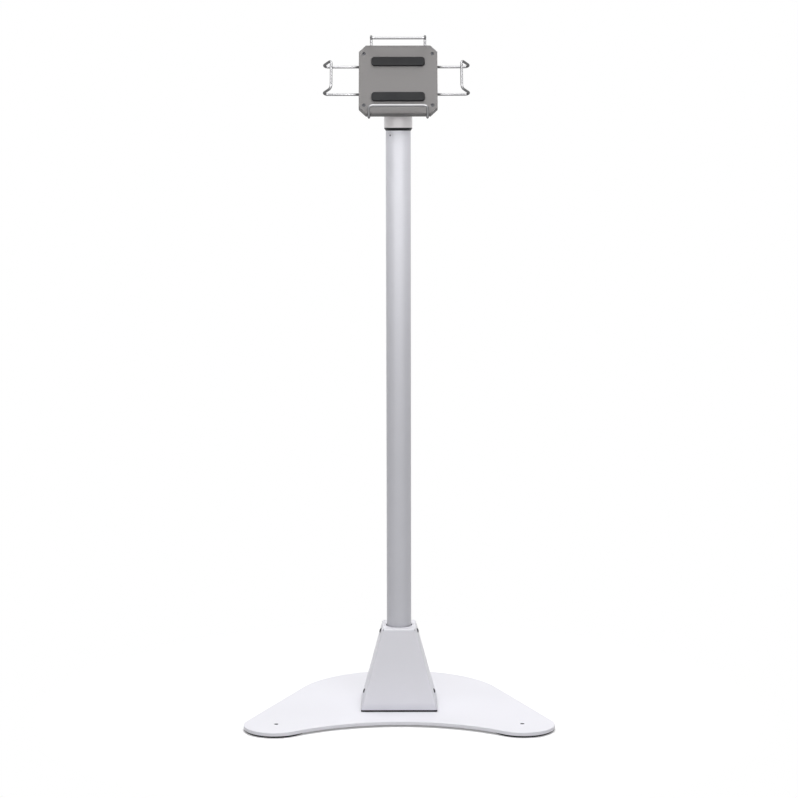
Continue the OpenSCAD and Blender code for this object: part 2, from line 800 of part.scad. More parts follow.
module lock_bore(tip_y) {
    rod_y(tip_y - OVER, shell_back_y + OVER, lock_screw_d / 2 + seat_gap);
}

module guide_bore(len) {
    translate([0, 0, -len - OVER]) cylinder(r = guide_r + seat_gap, h = len + 2 * OVER);
}

module guide_boss(len) {
    translate([0, 0, -len]) cylinder(r = guide_r + seat_gap + 1, h = len);
}

module holder_shell() {
    color(GREY_SHELL) difference() {
        union() {
            at_tilt() difference() {
                shell_block();
                shell_hollow();
            }
            intersection() {
                union() {
                    at_all_legs() {
                        guide_boss(upright_guide_len);
                        guide_boss(side_guide_len);
                    }
                    at_lock_screws() {
                        lock_boss(upright_lock_tip);
                        lock_boss(side_lock_tip);
                    }
                    at_cover_screws() translate([0, 0, cover_t])
                        cylinder(r = cover_boss_r, h = shell_depth - shell_wall / 2);
                }
                at_tilt() shell_block();
            }
        }
        at_all_legs() {
            guide_bore(upright_guide_len);
            guide_bore(side_guide_len);
        }
        at_lock_screws() {
            lock_bore(upright_lock_tip);
            lock_bore(side_lock_tip);
        }
        at_cover_screws() translate([0, 0, cover_t - OVER])
            cylinder(r = cover_screw_d / 2 + seat_gap, h = shell_depth - shell_wall + OVER);
        at_tilt() rod_y(shell_back_y - shell_wall - OVER, shell_back_y + OVER, turn_bolt_d / 2 + seat_gap);
    }
}

module holder_cover() {
    color(GREY_SHELL) difference() {
        at_tilt() prism_y(cover_front_y, shell_front_y) cut_corner_square(body_w, body_h, body_cut);
        at_cover_screws() {
            translate([0, 0, -OVER]) cylinder(r = cover_screw_d / 2 + bolt_gap, h = cover_t + 2 * OVER);
            cylinder(r1 = cover_head_r + seat_gap, r2 = cover_screw_d / 2 + seat_gap, h = cover_head_h);
        }
    }
}

module cover_screws() {
    color(DARK_STEEL) at_cover_screws() {
        cylinder(r1 = cover_head_r, r2 = cover_screw_d / 2, h = cover_head_h);
        translate([0, 0, cover_head_h])
            cylinder(d = cover_screw_d, h = cover_t + shell_depth - 2 * shell_wall - cover_head_h);
    }
}

module rest_pads() {
    color(BLACK_RUBBER) at_tilt()
        for (z = [-1, 1])
            translate([0, 0, z * pad_out]) prism_y(cover_front_y - pad_t, cover_front_y)
                rounded_square(pad_len, pad_w, pad_w / 3);
}

module guide(len) {
    translate([0, 0, -len]) washer(guide_r, wire_r + run_gap, len);
}

module wire_guides() {
    color(BLACK_NYLON) at_all_legs() {
        guide(upright_guide_len);
        guide(side_guide_len);
    }
}

module lock_screw(tip_y) {
    difference() {
        rod_y(tip_y, shell_back_y, lock_screw_d / 2);
        translate([0, shell_back_y, 0]) rotate([90, 0, 0]) translate([0, 0, -OVER])
            cylinder(r = 0.3 * lock_screw_d, h = shell_wall + OVER, $fn = 6);
    }
}

module lock_screws() {
    color(DARK_STEEL) at_lock_screws() {
        lock_screw(upright_lock_tip);
        lock_screw(side_lock_tip);
    }
}

// Arms

// A straight length of wire up +Z, with a bead where the next length joins it
module wire_rod(len) {
    translate([0, 0, BEAD_GAP]) cylinder(r = wire_r, h = len - 2 * BEAD_GAP);
    translate([0, 0, len]) sphere(bead_r);
}

// A bend of wire in the plane of X and Y, from +X towards +Y, with a bead at its end
module wire_bend(bend_r, turn) {
    skip = BEAD_GAP / bend_r * 180 / PI;
    rotate(skip) rotate_extrude(angle = turn - 2 * skip) translate([bend_r, 0]) circle(wire_r);
    rotate(turn) translate([bend_r, 0, 0]) sphere(bead_r);
}

// One wire: two legs, a hook forwards on each, and lips joined by a run across the front
module arm_wire(gap, reach, leg_y, leg_len) {
    hook_z = reach - hook_r;
    lip_start_y = leg_y - hook_r * (1 + sin(lip_lean));
    lip_start_z = hook_z + hook_r * cos(lip_lean);
    lip_len = (lip_ahead - hook_r * (1 + sin(lip_lean))) / cos(lip_lean);
    run_x = gap / 2 - lip_corner_r;
    both_sides() {
        translate([gap / 2, leg_y, hook_z - leg_len - BEAD_GAP]) wire_rod(leg_len + BEAD_GAP);
        translate([gap / 2, leg_y - hook_r, hook_z]) rotate([90, 0, 90])
            wire_bend(hook_r, 90 + lip_lean);
    }
    translate([0, lip_start_y, lip_start_z]) rotate([90 + lip_lean, 0, 0]) {
        both_sides() {
            translate([gap / 2, 0, 0]) wire_rod(lip_len - lip_corner_r);
            translate([run_x, 0, lip_len - lip_corner_r]) rotate([90, 0, 0])
                wire_bend(lip_corner_r, 90);
        }
        translate([0, 0, lip_len]) rod_x(BEAD_GAP - run_x, run_x - BEAD_GAP, wire_r);
    }
}

// The bar inside the housing that the legs are butt welded to
module arm_bar(gap, reach, leg_y, leg_len) {
    w = gap + 2 * bar_over;
    translate([-w / 2, leg_y - wire_r, reach - hook_r - leg_len - bar_w]) cube([w, wire_d, bar_w]);
}

module upright_wire(turn, gap, out) {
    color(BRIGHT_STEEL) at_arm(turn)
        arm_wire(gap, body_h / 2 + out, upright_leg_y, upright_leg_len);
}

module upright_bar(turn, gap, out) {
    color(DARK_STEEL) at_arm(turn)
        arm_bar(gap, body_h / 2 + out, upright_leg_y, upright_leg_len);
}

module side_wire(turn, out) {
    color(BRIGHT_STEEL) at_arm(turn)
        arm_wire(side_leg_gap, body_w / 2 + out, side_leg_y, side_leg_len);
}

module side_bar(turn, out) {
    color(DARK_STEEL) at_arm(turn)
        arm_bar(side_leg_gap, body_w / 2 + out, side_leg_y, side_leg_len);
}

base_plate();
base_feet();
pole_flange();
flange_washers();
flange_bolts();
pole_tube();
shroud_seal();
shroud_front();
shroud_rear();
shroud_clips();
shroud_nuts();
shroud_screws();
swivel_bushing();
bushing_screw();
head_collar();
swivel_retainer();
head_screw();
post_dowel();
tilt_post();
friction_washers();
tilt_bracket();
tilt_washers();
tilt_bolt();
tilt_nut();
turn_disc();
turn_bolt();
turn_washer();
turn_nut();
holder_shell();
holder_cover();
cover_screws();
rest_pads();
wire_guides();
lock_screws();
upright_wire(0, top_leg_gap, top_out);  // top_arm_wire
upright_bar(0, top_leg_gap, top_out);  // top_arm_bar
upright_wire(180, bottom_leg_gap, bottom_out);  // bottom_arm_wire
upright_bar(180, bottom_leg_gap, bottom_out);  // bottom_arm_bar
side_wire(-90, left_out);  // left_arm_wire
side_bar(-90, left_out);  // left_arm_bar
side_wire(90, right_out);  // right_arm_wire
side_bar(90, right_out);  // right_arm_bar
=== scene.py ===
"""Looks of the adjustable tablet floor stand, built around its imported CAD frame.

Lengths are written in millimetres, as in the part's source, and become metres when a mesh is made.
Floor, lamps and camera are placed in metres.
"""

import json
import math

import bmesh
import bpy
import numpy as np
from mathutils import Matrix

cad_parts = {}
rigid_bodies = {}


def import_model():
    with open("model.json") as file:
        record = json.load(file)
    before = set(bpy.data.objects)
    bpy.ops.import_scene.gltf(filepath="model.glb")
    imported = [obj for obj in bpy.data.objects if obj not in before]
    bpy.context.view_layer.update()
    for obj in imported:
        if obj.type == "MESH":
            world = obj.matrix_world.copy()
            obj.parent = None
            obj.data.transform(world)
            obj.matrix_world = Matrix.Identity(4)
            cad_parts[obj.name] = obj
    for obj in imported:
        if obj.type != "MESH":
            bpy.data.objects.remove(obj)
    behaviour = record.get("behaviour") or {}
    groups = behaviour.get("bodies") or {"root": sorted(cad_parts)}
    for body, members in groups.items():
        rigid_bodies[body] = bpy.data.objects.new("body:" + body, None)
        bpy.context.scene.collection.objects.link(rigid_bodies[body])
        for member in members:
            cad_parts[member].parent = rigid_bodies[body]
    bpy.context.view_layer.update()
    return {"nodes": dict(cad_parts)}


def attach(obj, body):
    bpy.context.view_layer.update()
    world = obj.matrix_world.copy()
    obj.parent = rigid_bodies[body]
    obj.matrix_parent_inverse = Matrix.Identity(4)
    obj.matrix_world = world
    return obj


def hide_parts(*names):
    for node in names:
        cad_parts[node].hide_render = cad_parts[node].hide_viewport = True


for left_over in list(bpy.data.objects):
    bpy.data.objects.remove(left_over)
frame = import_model()
cad = frame["nodes"]
MM = 0.001

# Main sizes, which follow the part's source
POLE_Y = -20.5
PLATE_LOW, PLATE_TOP = 3.0, 9.0
TIP_X, TIP_Y, TIP_R = 196.0, -126.0, 52.0
FRONT_R, REAR_R, REAR_Y = 275.0, 174.0, 45.0
FLOOR_HOLE_R = 3.5
FLANGE_HOLE_AT, FLANGE_HOLE_R = 34, 4.02
SHROUD_Z, SHROUD_H = 12.0, 129.5
SHROUD_FOOT, SHROUD_HEAD = np.array([124.0, 110.0]), np.array([54.5, 73.0])
SHROUD_WALL, SHROUD_CORNER_R = 1.5, 3.0
FOLD_R, POLE_HOLE_R = 2.0, 21.5
SEAM_Y, SEAM_HALF_GAP = -9.0, 0.12
SHROUD_SCREW_HEIGHTS = (18.0, SHROUD_H - 10.0)
COLLAR_R, COLLAR_LOW, COLLAR_TOP = 22.5, 951.4, 973.4
SPIGOT_R, SPIGOT_LOW, COLLAR_BORE_R = 15.0, 920.7, 4.25
POST_HALF_W = 10.0
WASHER_R, WASHER_BORE_R, WASHER_T = 11.0, 4.25, 1.0
PIVOT_Z, TILT = 1009.4, math.radians(23)
COVER_FRONT = -45.8
COVER_SCREW_X, COVER_SCREW_Z = 54, 44
PAD_HALF_W, PAD_HALF_H, PAD_CORNER_R, PAD_T, PAD_Z = 42.0, 7.5, 5.0, 3.0, 30.0
WIRE_R, HOOK_R, LIP_R = 2.0, 6.0, 6.0
LIP_LEAN, LIP_AHEAD = math.radians(33), 25.4
SIDE_ARM_UP = 2.0
SIDE_LEG_Y, UPRIGHT_LEG_Y = -35.5, -40.3
SIDE_LEG_LEN, UPRIGHT_LEG_LEN = 70.0, 44.0

# Each arm: turn about the holder's axis in degrees, gap between legs, reach, depth and length of legs
ARMS = {
    "top_arm_wire": (0, 85.0, 72.8, UPRIGHT_LEG_Y, UPRIGHT_LEG_LEN),
    "bottom_arm_wire": (180, 92.0, 64.5, UPRIGHT_LEG_Y, UPRIGHT_LEG_LEN),
    "left_arm_wire": (-90, 47.0, 116.5, SIDE_LEG_Y, SIDE_LEG_LEN),
    "right_arm_wire": (90, 47.0, 111.0, SIDE_LEG_Y, SIDE_LEG_LEN),
}

# CAD nodes that only need small edge rounds: the round's width, the finish and the body
ROUNDED = {
    "base_feet": (0.5, "black_rubber", "base"),
    "holder_shell": (0.5, "grey_shell", "holder"),
    "holder_cover": (0.5, "grey_cover", "holder"),
    "tilt_post": (0.8, "silver_collar", "head"),
    "tilt_bracket": (0.8, "silver_collar", "tilt_frame"),
    "tilt_bolt": (0.5, "dark_screw", "tilt_frame"),
    "tilt_nut": (0.5, "zinc_steel", "tilt_frame"),
    "turn_nut": (0.5, "zinc_steel", "holder"),
    "turn_disc": (0.3, "black_nylon", "tilt_frame"),
}

# Each lamp's place and target, width and height, power, and spread in degrees
LAMPS = {
    "near_right_softbox": ((0.65, -0.6, 1.42), (0, 0, 1.0), (0.6, 0.4), 0.6, 42),
    "near_left_softbox": ((-0.65, -0.6, 1.42), (0, 0, 1.0), (0.6, 0.4), 0.5, 42),
    "right_softbox": ((0.85, -2.4, 1.0), (0, 0, 0.9), (0.9, 0.9), 10.5, 180),
    "left_softbox": ((-0.85, -2.4, 1.0), (0, 0, 0.9), (0.9, 0.9), 10, 180),
    "overhead_softbox": ((0.05, -0.02, 2.9), (0, 0, 0), (2.2, 2.2), 80, 180),
    "rear_fill": ((-0.9, 1.4, 2.3), (0, 0, 0.7), (1.2, 1.2), 4, 180),
}


# Mesh helpers

# Distances in metres within which points merge and edges collapse
MERGE_GAP, SLIVER = 2e-6, 1e-7
# Points round a small edge round
ROUND_POINTS = 6


def grid_faces(rows, columns, ring):
    """Quads of a grid of points, row by row: each joins a point, the next one along, and the two above them.
    With ring the last column joins the first."""
    last = columns if ring else columns - 1
    row, column = np.meshgrid(np.arange(rows - 1), np.arange(last), indexing="ij")
    here, above = row * columns, (row + 1) * columns
    beside = (column + 1) % columns
    return np.stack([here + column, here + beside, above + beside, above + column], -1).reshape(-1, 4)


def make_piece(name, points, faces, body, slot, replaced, sharp=40, closed=True):
    """A mesh from arrays of points in millimetres and of faces: doubles merge, a closed shell is turned
    outwards, and edges sharper than the angle stay crisp. The piece takes its finish from the slot and rides
    on the body."""
    mesh = bpy.data.meshes.new(name)
    mesh.from_pydata((np.asarray(points).reshape(-1, 3) * MM).tolist(), [], np.asarray(faces).tolist())
    shell = bmesh.new()
    shell.from_mesh(mesh)
    bmesh.ops.remove_doubles(shell, verts=shell.verts, dist=MERGE_GAP)
    bmesh.ops.dissolve_degenerate(shell, edges=shell.edges, dist=SLIVER)
    if closed:
        bmesh.ops.recalc_face_normals(shell, faces=shell.faces)
    shell.to_mesh(mesh)
    shell.free()
    return seat_piece(name, mesh, body, slot, replaced, sharp)


def seat_piece(name, mesh, body, slot, replaced, sharp):
    """Shades the mesh smooth up to the sharp angle and puts its object in the scene, on its body and in
    place of the nodes that it replaces."""
    mesh.shade_smooth()
    mesh.set_sharp_from_angle(angle=math.radians(sharp))
    piece = bpy.data.objects.new(name, mesh)
    bpy.context.scene.collection.objects.link(piece)
    mesh.materials.clear()
    mesh.materials.append(finishes[slot])
    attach(piece, body)
    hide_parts(*replaced)
    return piece


def softened(node, width, slot, body):
    """A merged copy of a CAD node whose edges get a small round from a Bevel modifier, as moulding or
    turning leaves it."""
    flat_angle, edge_angle = 0.4, 35
    mesh = cad[node].data.copy()
    shell = bmesh.new()
    shell.from_mesh(mesh)
    bmesh.ops.remove_doubles(shell, verts=shell.verts, dist=MERGE_GAP)
    bmesh.ops.dissolve_limit(
        shell, angle_limit=math.radians(flat_angle), verts=shell.verts, edges=shell.edges
    )
    shell.to_mesh(mesh)
    shell.free()
    if "custom_normal" in mesh.attributes:
        mesh.attributes.remove(mesh.attributes["custom_normal"])
    piece = seat_piece(node + "_finished", mesh, body, slot, [node], edge_angle)
    bevel = piece.modifiers.new("edge_round", "BEVEL")
    bevel.width = width * MM
    bevel.segments = 3
    bevel.limit_method = "ANGLE"
    bevel.angle_limit = math.radians(edge_angle)
    bevel.use_clamp_overlap = True
    bevel.harden_normals = True


def arc(centre, radius, start, end, count=ROUND_POINTS):
    """Points on a circle about the centre, from the start angle to the end angle in degrees."""
    angle = np.radians(np.linspace(start, end, count))
    return np.stack([centre[0] + radius * np.cos(angle), centre[1] + radius * np.sin(angle)], -1)


def full_turn(count):
    """Angles of a whole turn, without the last one that would meet the first."""
    return np.linspace(0, 2 * math.pi, count, endpoint=False)


def turned(profile, places, sides, hexed=()):
    """A profile of radius and height turned about each place's axis: origin plus radius times the cosine and
    sine of the angle across the axis, plus height along it. Rows named in hexed follow a hexagon of that
    corner radius: the radius is multiplied by the cosine of 30 degrees over the cosine of the angle from the
    middle of a flat."""
    profile = np.asarray(profile, float)
    angle = full_turn(sides)
    flat = math.cos(math.pi / 6) / np.cos(np.mod(angle, math.pi / 3) - math.pi / 6)
    share = np.ones((len(profile), sides))
    share[list(hexed)] = flat
    radius = profile[:, :1] * share
    origin = np.array([p[0] for p in places], float)
    axis = np.array([p[1] for p in places], float)
    axis /= np.linalg.norm(axis, axis=1, keepdims=True)
    along_y = np.abs(axis[:, 1:2]) > 0.8
    helper = np.where(along_y, [[1.0, 0, 0]], [[0, 1.0, 0]])
    across = helper - (helper * axis).sum(1, keepdims=True) * axis
    across /= np.linalg.norm(across, axis=1, keepdims=True)
    beside = np.cross(axis, across)
    points = (
        origin[:, None, None]
        + (radius * np.cos(angle))[None, ..., None] * across[:, None, None]
        + (radius * np.sin(angle))[None, ..., None] * beside[:, None, None]
        + profile[None, :, None, 1:] * axis[:, None, None]
    )
    one = grid_faces(len(profile), sides, True)
    step = np.arange(len(places))[:, None, None] * len(profile) * sides
    return points.reshape(-1, 3), (one[None] + step).reshape(-1, 4)


def tilted(points):
    """Points of the holder's own frame leaned back about the tilt axis and set at its height."""
    points = np.asarray(points, float)
    cos, sin = math.cos(TILT), math.sin(TILT)
    y, z = points[..., 1], points[..., 2]
    return np.stack([points[..., 0], POLE_Y + cos * y + sin * z, PIVOT_Z - sin * y + cos * z], -1)


# Shader node helpers

# The middle part of a noise value's range, where most of it lies
NOISE_SPAN = (0.3, 0.7)


def feed(tree, value, socket):
    """Gives a socket its value: a number is set, and another socket is linked."""
    if isinstance(value, (int, float)):
        socket.default_value = value
    else:
        tree.links.new(value, socket)


def combined(tree, operation, first, second):
    """The result of a math operation on two values, each a number or a socket."""
    node = tree.nodes.new("ShaderNodeMath")
    node.operation = operation
    feed(tree, first, node.inputs[0])
    feed(tree, second, node.inputs[1])
    return node.outputs[0]


def vector_step(tree, operation, vector, other=(0, 0, 0)):
    """A vector math node on a socket and a fixed vector."""
    node = tree.nodes.new("ShaderNodeVectorMath")
    node.operation = operation
    tree.links.new(vector, node.inputs[0])
    node.inputs[1].default_value = other
    return node


def ranged(tree, value, low, high, start=0.0, end=1.0, blend="LINEAR"):
    """Maps a value's range from start to end onto the range from low to high, each a number or a socket."""
    node = tree.nodes.new("ShaderNodeMapRange")
    node.interpolation_type = blend
    node.inputs["From Min"].default_value = start
    node.inputs["From Max"].default_value = end
    tree.links.new(value, node.inputs["Value"])
    feed(tree, low, node.inputs["To Min"])
    feed(tree, high, node.inputs["To Max"])
    return node.outputs["Result"]


def noise(tree, vector, scale, detail, rough=0.5):
    """A noise texture on the vector; scale may be a number or a socket."""
    texture = tree.nodes.new("ShaderNodeTexNoise")
    tree.links.new(vector, texture.inputs["Vector"])
    texture.inputs["Detail"].default_value = detail
    texture.inputs["Roughness"].default_value = rough
    feed(tree, scale, texture.inputs["Scale"])
    return texture.outputs["Fac"]


def effect_group(name, inputs, outputs):
    """A shader node group with named inputs and outputs, ready for its inner nodes."""
    tree = bpy.data.node_groups.new(name, "ShaderNodeTree")
    for label, kind, value in inputs:
        socket = tree.interface.new_socket(label, in_out="INPUT", socket_type=kind)
        if value is not None:
            socket.default_value = value
    for label, kind in outputs:
        tree.interface.new_socket(label, in_out="OUTPUT", socket_type=kind)
    return tree, tree.nodes.new("NodeGroupInput"), tree.nodes.new("NodeGroupOutput")


# Finishes

def build_tone_group():
    """Colour that drifts slowly over the surface and flickers finely, by the two shares given: the colour
    times one plus both noises, each spread from minus its share to its share."""
    tree, start, end = effect_group(
        "tone_drift",
        [
            ("Vector", "NodeSocketVector", None),
            ("Colour", "NodeSocketColor", (0.5, 0.5, 0.5, 1)),
            ("Drift", "NodeSocketFloat", 0.03),
            ("Fleck", "NodeSocketFloat", 0.02),
            ("Fleck Scale", "NodeSocketFloat", 1500.0),
        ],
        [("Colour", "NodeSocketColor")],
    )
    slow = noise(tree, start.outputs["Vector"], scale=7.0, detail=3.0)
    fine = noise(tree, start.outputs["Vector"], start.outputs["Fleck Scale"], detail=1.0)
    total = 1.0
    for value, label in ((slow, "Drift"), (fine, "Fleck")):
        share = start.outputs[label]
        less = combined(tree, "MULTIPLY", share, -1.0)
        total = combined(tree, "ADD", ranged(tree, value, less, share, *NOISE_SPAN), total)
    scaled = vector_step(tree, "SCALE", start.outputs["Colour"])
    tree.links.new(total, scaled.inputs["Scale"])
    tree.links.new(scaled.outputs[0], end.inputs["Colour"])
    return tree


def build_grain_group():
    """Height of a fine surface grain: a noise with two finer octaves."""
    tree, start, end = effect_group(
        "surface_grain",
        [("Vector", "NodeSocketVector", None), ("Scale", "NodeSocketFloat", 900.0)],
        [("Height", "NodeSocketFloat")],
    )
    height = noise(tree, start.outputs["Vector"], start.outputs["Scale"], detail=2.0, rough=0.45)
    tree.links.new(height, end.inputs["Height"])
    return tree


def build_touch_group():
    """Roughness that changes where hands and cloths have been: broad soft patches between the two values."""
    tree, start, end = effect_group(
        "touch_marks",
        [
            ("Vector", "NodeSocketVector", None),
            ("Smooth", "NodeSocketFloat", 0.3),
            ("Dull", "NodeSocketFloat", 0.4),
        ],
        [("Roughness", "NodeSocketFloat")],
    )
    patches = noise(tree, start.outputs["Vector"], scale=28.0, detail=4.0, rough=0.6)
    rough = ranged(tree, patches, start.outputs["Smooth"], start.outputs["Dull"], *NOISE_SPAN)
    tree.links.new(rough, end.inputs["Roughness"])
    return tree


TONE, GRAIN, TOUCH = build_tone_group(), build_grain_group(), build_touch_group()


def place_group(tree, group, vector, **values):
    """Puts a shared group in a material, on the vector, with this finish's own values."""
    node = tree.nodes.new("ShaderNodeGroup")
    node.node_tree = group
    tree.links.new(vector, node.inputs["Vector"])
    for label, value in values.items():
        node.inputs[label.replace("_", " ")].default_value = value
    return node


def finish(name, colour, smooth, dull, grain, depth, drift=0.03, fleck=0.02, fleck_scale=1500.0,
           stretch=(1, 1, 1), **sockets):
    """One finish: a drifting colour, roughness in patches from smooth to dull, and a grain bump of this scale
    and depth in millimetres, all on object coordinates. Stretch packs the grain closer along an axis. Sockets
    are set on the shader itself."""
    material = bpy.data.materials.new(name)
    material.use_nodes = True
    tree = material.node_tree
    shader = tree.nodes["Principled BSDF"]
    place = tree.nodes.new("ShaderNodeTexCoord").outputs["Object"]
    drawn = tree.nodes.new("ShaderNodeMapping")
    drawn.inputs["Scale"].default_value = stretch
    tree.links.new(place, drawn.inputs["Vector"])
    tone = place_group(
        tree, TONE, place, Colour=(*colour, 1), Drift=drift, Fleck=fleck, Fleck_Scale=fleck_scale
    )
    tree.links.new(tone.outputs["Colour"], shader.inputs["Base Color"])
    touch = place_group(tree, TOUCH, place, Smooth=smooth, Dull=dull)
    tree.links.new(touch.outputs["Roughness"], shader.inputs["Roughness"])
    height = place_group(tree, GRAIN, drawn.outputs["Vector"], Scale=grain)
    bump = tree.nodes.new("ShaderNodeBump")
    bump.inputs["Strength"].default_value = 1.0
    bump.inputs["Distance"].default_value = depth * MM
    tree.links.new(height.outputs["Height"], bump.inputs["Height"])
    tree.links.new(bump.outputs["Normal"], shader.inputs["Normal"])
    for label, value in sockets.items():
        shader.inputs[label.replace("_", " ")].default_value = value
    return material


def tinted(material, share, colour):
    """Mixes a plain colour into a finish's own colour by a share, which is a socket."""
    tree = material.node_tree
    base = tree.nodes["Principled BSDF"].inputs["Base Color"]
    mixed = tree.nodes.new("ShaderNodeMix")
    mixed.data_type = "RGBA"
    mixed.inputs["B"].default_value = (*colour, 1)
    tree.links.new(share, mixed.inputs["Factor"])
    tree.links.new(base.links[0].from_socket, mixed.inputs["A"])
    tree.links.new(mixed.outputs["Result"], base)


def painted_rim_reflection(material, colour):
    """Paints a darker reflection onto a bright round wire towards its rims, standing in for the darker
    surroundings it would mirror there: the colour is mixed in by how far the surface turns from view."""
    turned_away = material.node_tree.nodes.new("ShaderNodeLayerWeight")
    turned_away.inputs["Blend"].default_value = 0.75
    tinted(material, turned_away.outputs["Facing"], colour)


def bare_and_shaded_holes(material, half_gap, ahead, radius, colour):
    """Darkens a pair of drilled holes, partly to their bare metal and partly as painted shade inside them:
    where the distance from either hole's axis, taken from the absolute values of width and depth, is less
    than the radius."""
    tree = material.node_tree
    place = tree.nodes.new("ShaderNodeTexCoord").outputs["Object"]
    folded = vector_step(tree, "ABSOLUTE", place).outputs[0]
    flat = vector_step(tree, "MULTIPLY", folded, (1, 1, 0)).outputs[0]
    away = vector_step(tree, "DISTANCE", flat, (half_gap * MM, ahead * MM, 0)).outputs["Value"]
    tinted(material, combined(tree, "LESS_THAN", away, radius * MM), colour)


finishes = {
    "white_paint": finish(
        "powder_coated_white", (0.83, 0.825, 0.875), smooth=0.40, dull=0.48, grain=700, depth=0.02,
        drift=0.012, fleck=0.008,
    ),
    # A little darker than the plate's white, which paints in part of the shade on the shroud's upright faces
    "white_sheet": finish(
        "enamelled_sheet_white", (0.805, 0.80, 0.85), smooth=0.36, dull=0.44, grain=500, depth=0.012,
        drift=0.015, fleck=0.006,
    ),
    "silver_paint": finish(
        "silver_grey_paint", (0.585, 0.585, 0.625), smooth=0.34, dull=0.42, grain=900, depth=0.012,
        drift=0.015, fleck=0.05, fleck_scale=2600, Metallic=0.15,
    ),
    "silver_collar": finish(
        "turned_aluminium", (0.720, 0.697, 0.706), smooth=0.42, dull=0.50, grain=60, depth=0.02,
        drift=0.02, fleck=0.03, fleck_scale=2000, stretch=(1, 1, 26), Metallic=0.25,
    ),
    "dark_steel": finish(
        "raw_dark_steel", (0.10, 0.10, 0.105), smooth=0.45, dull=0.60, grain=400, depth=0.03,
        drift=0.12, fleck=0.08, fleck_scale=900, Metallic=0.8,
    ),
    "zinc_steel": finish(
        "bright_zinc", (0.55, 0.55, 0.56), smooth=0.24, dull=0.36, grain=600, depth=0.01,
        drift=0.06, fleck=0.05, fleck_scale=700, Metallic=1.0,
    ),
    "dark_screw": finish(
        "black_oxide", (0.045, 0.045, 0.05), smooth=0.35, dull=0.5, grain=800, depth=0.01,
        drift=0.1, fleck=0.08, Metallic=0.6,
    ),
    "black_nylon": finish(
        "black_nylon", (0.006, 0.006, 0.008), smooth=0.42, dull=0.52, grain=900, depth=0.012,
        drift=0.1, fleck=0.1, Specular_IOR_Level=0.2,
    ),
    "black_rubber": finish(
        "black_rubber", (0.009, 0.009, 0.010), smooth=0.62, dull=0.78, grain=1100, depth=0.03,
        drift=0.1, fleck=0.1, Specular_IOR_Level=0.2,
    ),
    "grey_shell": finish(
        "grey_moulding", (0.102, 0.097, 0.095), smooth=0.46, dull=0.56, grain=1300, depth=0.03,
        fleck=0.04, fleck_scale=1800,
    ),
    "grey_cover": finish(
        "grey_front_moulding", (0.104, 0.099, 0.098), smooth=0.48, dull=0.58, grain=1300, depth=0.035,
        fleck=0.04, fleck_scale=1800,
    ),
    "chrome_wire": finish(
        "bright_drawn_wire", (0.400, 0.397, 0.407), smooth=0.27, dull=0.35, grain=500, depth=0.002,
        Metallic=1.0,
    ),
}
# Painted reflection: the wire's base colour goes dark at its rims, standing in for mirrored darker
# surroundings
painted_rim_reflection(finishes["chrome_wire"], (0.01, 0.01, 0.0105))
# The floor holes' walls: bare metal, darkened further with painted shade of the hole's depth
bare_and_shaded_holes(finishes["white_paint"], TIP_X, -TIP_Y - POLE_Y, FLOOR_HOLE_R + 0.1, (0.05, 0.05, 0.055))
for node_object in cad.values():
    for holder in node_object.material_slots:
        holder.material = finishes[holder.material.name]


# Base plate

def plate_outline():
    """The plate's edge from the middle of the back, clockwise seen from above: rear arc, straight side
    tangent to the rear arc and the tip's arc, the tip's arc, the hollow front arc, and the mirror image back
    to the start. Each point comes with its outward normal."""
    rear_count, tip_count, front_count = 120, 90, 110
    doubled_gap = 1e-3
    front_y = TIP_Y - math.sqrt((FRONT_R + TIP_R) ** 2 - TIP_X**2)
    to_tip = np.array([TIP_X, TIP_Y - REAR_Y])
    side = math.atan2(to_tip[1], to_tip[0]) + math.acos((REAR_R - TIP_R) / np.linalg.norm(to_tip))
    hollow = math.atan2(front_y - TIP_Y, -TIP_X)
    rear_angle = np.linspace(math.pi / 2, side, rear_count)
    tip_angle = np.linspace(side, hollow - 2 * math.pi if hollow > side else hollow, tip_count)
    front_angle = np.linspace(math.atan2(TIP_Y - front_y, TIP_X), math.pi / 2, front_count)
    arcs = [
        ((0, REAR_Y), REAR_R, rear_angle, 1),
        ((TIP_X, TIP_Y), TIP_R, tip_angle, 1),
        ((0, front_y), FRONT_R, front_angle, -1),
    ]
    points = np.concatenate(
        [np.stack([c[0] + r * np.cos(a), c[1] + r * np.sin(a)], -1) for c, r, a, _ in arcs]
    )
    normals = np.concatenate([np.stack([s * np.cos(a), s * np.sin(a)], -1) for _, _, a, s in arcs])
    keep = np.concatenate([[True], np.linalg.norm(np.diff(points, axis=0), axis=1) > doubled_gap])
    points, normals = points[keep], normals[keep]
    flip = np.array([-1.0, 1.0])
    points = np.concatenate([points, (points * flip)[-2:0:-1]])
    normals = np.concatenate([normals, (normals * flip)[-2:0:-1]])
    return points + [0, POLE_Y], normals


def edge_walls(points, normals, low, high, round_r, first):
    """A wall carried along an outline: the point, less its normal times an inset that runs round a small
    radius at the bottom and top. Gives the points, the quads, and the index of the bottom and top loops."""
    low_round = arc((round_r, low + round_r), round_r, 270, 180)
    high_round = arc((round_r, high - round_r), round_r, 180, 90)
    inset, height = np.concatenate([low_round, high_round]).T
    ring = np.concatenate(
        [
            points[None] - inset[:, None, None] * normals[None],
            np.broadcast_to(height[:, None, None], (len(height), len(points), 1)),
        ],
        -1,
    )
    count = len(points)
    faces = grid_faces(len(height), count, True) + first
    bottom = first + np.arange(count)
    top = first + (len(height) - 1) * count + np.arange(count)
    return ring.reshape(-1, 3), faces, bottom, top


